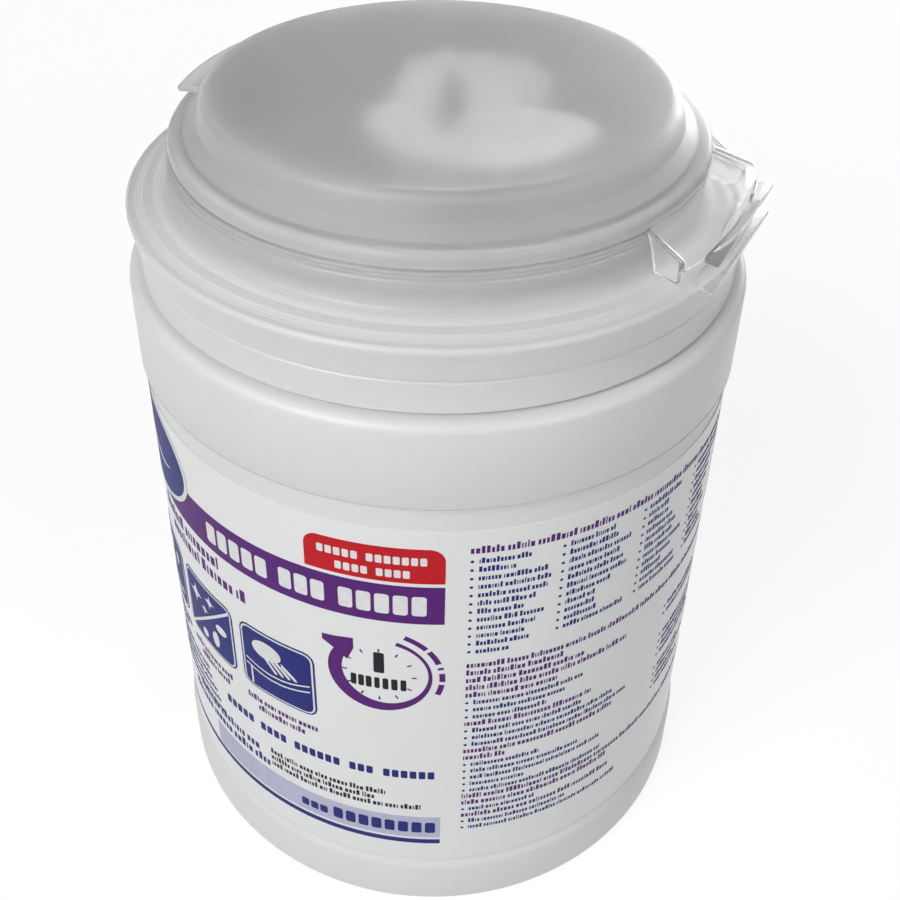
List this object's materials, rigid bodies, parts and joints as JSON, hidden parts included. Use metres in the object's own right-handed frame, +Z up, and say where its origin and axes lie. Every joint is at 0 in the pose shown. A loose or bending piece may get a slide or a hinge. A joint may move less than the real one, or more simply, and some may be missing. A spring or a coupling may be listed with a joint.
{
  "type": "disinfecting wipes canister",
  "caption": "Round moulded tub with a wrap label, a roll of wipes inside, a lift-off lid and a frosted flip cap with a thumb tab over the pull-out opening.",
  "frame": {"origin": "centre of the tub's flat base", "axes": "+Z up through the cap, -Y towards the thumb tab, +Y towards the flip cap's hinge"},
  "size_m": [0.13, 0.13, 0.182],
  "materials": {
    "tub": "satin moulded",
    "frosted": "frosted, translucent",
    "label": "film label",
    "wipe": "soft non-woven",
    "navy": "printed",
    "purple": "printed",
    "red": "printed",
    "lavender": "printed"
  },
  "bodies": {
    "tub": {"tub": "tub", "label": "label", "print_banner": "purple", "print_flag": "red", "print_badge": "navy", "print_icon_1": "navy", "print_icon_2": "navy", "print_icon_3": "navy", "print_clock": "purple", "print_clock_dial": "label", "print_strip": "lavender", "print_rule": "navy", "print_line_1": "navy", "print_line_2": "navy", "print_line_3": "navy", "print_line_4": "navy", "print_line_5": "navy", "print_line_6": "navy", "print_line_7": "navy", "print_caption_1": "navy", "print_caption_2": "navy", "print_caption_3": "navy", "wipes_roll": "wipe"},
    "lid": {"lid": "frosted", "wipe_end": "wipe"},
    "cap": {"flip_cap": "frosted"}
  },
  "joints": [
    {"name": "lid_lift", "type": "slide", "parent": "tub", "child": "lid", "axis": [0, 0, 1], "range_m": [0, 0.06]},
    {"name": "cap_hinge", "type": "hinge", "parent": "lid", "child": "cap", "pos_m": [0, 0.0559, 0.1699], "axis": [-1, 0, 0], "range_deg": [0, 120]}
  ]
}
